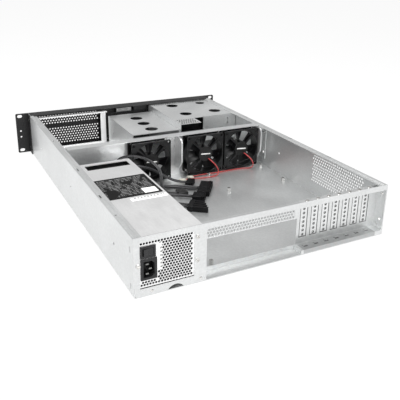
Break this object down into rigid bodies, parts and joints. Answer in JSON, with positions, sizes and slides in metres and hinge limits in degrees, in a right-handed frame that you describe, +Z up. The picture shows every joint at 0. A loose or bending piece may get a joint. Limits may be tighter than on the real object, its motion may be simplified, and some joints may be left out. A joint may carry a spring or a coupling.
{
  "type": "empty rackmount server case",
  "caption": "Open low rackmount case with supply, fan wall, two drive cages, slot covers and a loose cable harness.",
  "frame": {"origin": "middle of the 430 by 650 mm body on the underside of the base tray", "axes": "+X towards the power supply's side, -Y out of the front panel, +Y out of the rear panel, +Z up"},
  "size_m": [0.4826, 0.6547, 0.088],
  "materials": {
    "zinc_tray": "zinc-plated steel sheet, dull grain",
    "zinc_panel": "zinc-plated steel sheet, dull grain",
    "zinc_inner": "zinc-plated steel sheet",
    "zinc_cover": "zinc-plated steel sheet",
    "psu_steel": "zinc-plated steel sheet",
    "black_paint": "satin black powder coat",
    "black_plastic": "moulded, fine grain",
    "button_plastic": "smooth",
    "fan_rotor_plastic": "moulded, satin",
    "rocker_plastic": "smooth black",
    "screw_steel": "bright nickel plate",
    "screw_black": "black oxide",
    "port_metal": "bright plated sleeve",
    "contact_brass": "plated contact",
    "standoff_brass": "turned brass",
    "loom_wire": "bundled black insulated wires",
    "plug_black": "moulded nylon, black",
    "plug_pale": "moulded nylon, grey",
    "lead_wire": "insulated wire",
    "plug_small": "moulded nylon"
  },
  "bodies": {
    "chassis": {"base_tray": "zinc_tray", "rear_panel": "zinc_panel", "intake_frame": "zinc_inner", "fan_wall": "zinc_inner", "drive_cage_low": "zinc_inner", "drive_cage_wide": "zinc_inner", "psu_rails": "zinc_inner", "gusset_middle": "zinc_inner", "gusset_right": "zinc_inner", "slot_cover_1": "zinc_cover", "slot_cover_2": "zinc_cover", "slot_cover_3": "zinc_cover", "slot_cover_4": "zinc_cover", "slot_cover_5": "zinc_cover", "slot_cover_6": "zinc_cover", "slot_cover_7": "zinc_cover", "psu_case": "psu_steel", "psu_cover": "psu_steel", "front_panel": "black_paint", "ear_left": "black_paint", "ear_right": "black_paint", "bay_cover_low": "black_plastic", "bay_covers_wide": "black_plastic", "button_module": "black_plastic", "fan_frame_1": "black_plastic", "fan_frame_2": "black_plastic", "fan_frame_3": "black_plastic", "psu_fan_frame": "black_plastic", "psu_switch_housing": "black_plastic", "psu_inlet": "black_plastic", "harness_grommet": "black_plastic", "slot_cover_screws": "screw_steel", "psu_screws": "screw_steel", "fan_screws": "screw_steel", "case_rivets": "screw_steel", "ear_screws": "screw_black", "port_block": "port_metal", "psu_inlet_pins": "contact_brass", "standoffs": "standoff_brass", "loom_main": "loom_wire", "loom_board": "loom_wire", "loom_aux": "loom_wire", "loom_drive": "loom_wire", "loom_loop": "loom_wire", "plug_main": "plug_black", "plug_board": "plug_black", "plug_comb": "plug_black", "plug_loop": "plug_black", "plug_drive": "plug_pale", "fan_lead_1": "lead_wire", "fan_lead_2": "lead_wire", "fan_plug_1": "plug_small", "fan_plug_2": "plug_small"},
    "fan_1": {"fan_rotor_1": "fan_rotor_plastic"},
    "fan_2": {"fan_rotor_2": "fan_rotor_plastic"},
    "fan_3": {"fan_rotor_3": "fan_rotor_plastic"},
    "psu_fan": {"psu_fan_rotor": "fan_rotor_plastic"},
    "psu_switch": {"psu_switch_rocker": "rocker_plastic"},
    "power_key": {"power_button": "button_plastic"},
    "reset_key": {"reset_button": "button_plastic"}
  },
  "joints": [
    {"name": "fan_1_spin", "type": "hinge", "parent": "chassis", "child": "fan_1", "pos_m": [-0.157, -0.047, 0.045], "axis": [0, 1, 0], "continuous": true},
    {"name": "fan_2_spin", "type": "hinge", "parent": "chassis", "child": "fan_2", "pos_m": [-0.0735, -0.047, 0.045], "axis": [0, 1, 0], "continuous": true},
    {"name": "fan_3_spin", "type": "hinge", "parent": "chassis", "child": "fan_3", "pos_m": [0.043, -0.047, 0.045], "axis": [0, 1, 0], "continuous": true},
    {"name": "psu_fan_spin", "type": "hinge", "parent": "chassis", "child": "psu_fan", "pos_m": [0.144, 0.313, 0.0482], "axis": [0, 1, 0], "continuous": true},
    {"name": "psu_switch_rock", "type": "hinge", "parent": "chassis", "child": "psu_switch", "pos_m": [0.1948, 0.3242, 0.0649], "axis": [0, 0, 1], "range_deg": [-16, 0]},
    {"name": "power_press", "type": "slide", "parent": "chassis", "child": "power_key", "axis": [0, 1, 0], "range_m": [0, 0.0015], "stiffness_N_per_m": 400, "springref_m": -0.001},
    {"name": "reset_press", "type": "slide", "parent": "chassis", "child": "reset_key", "axis": [0, 1, 0], "range_m": [0, 0.0015], "stiffness_N_per_m": 400, "springref_m": -0.001}
  ]
}
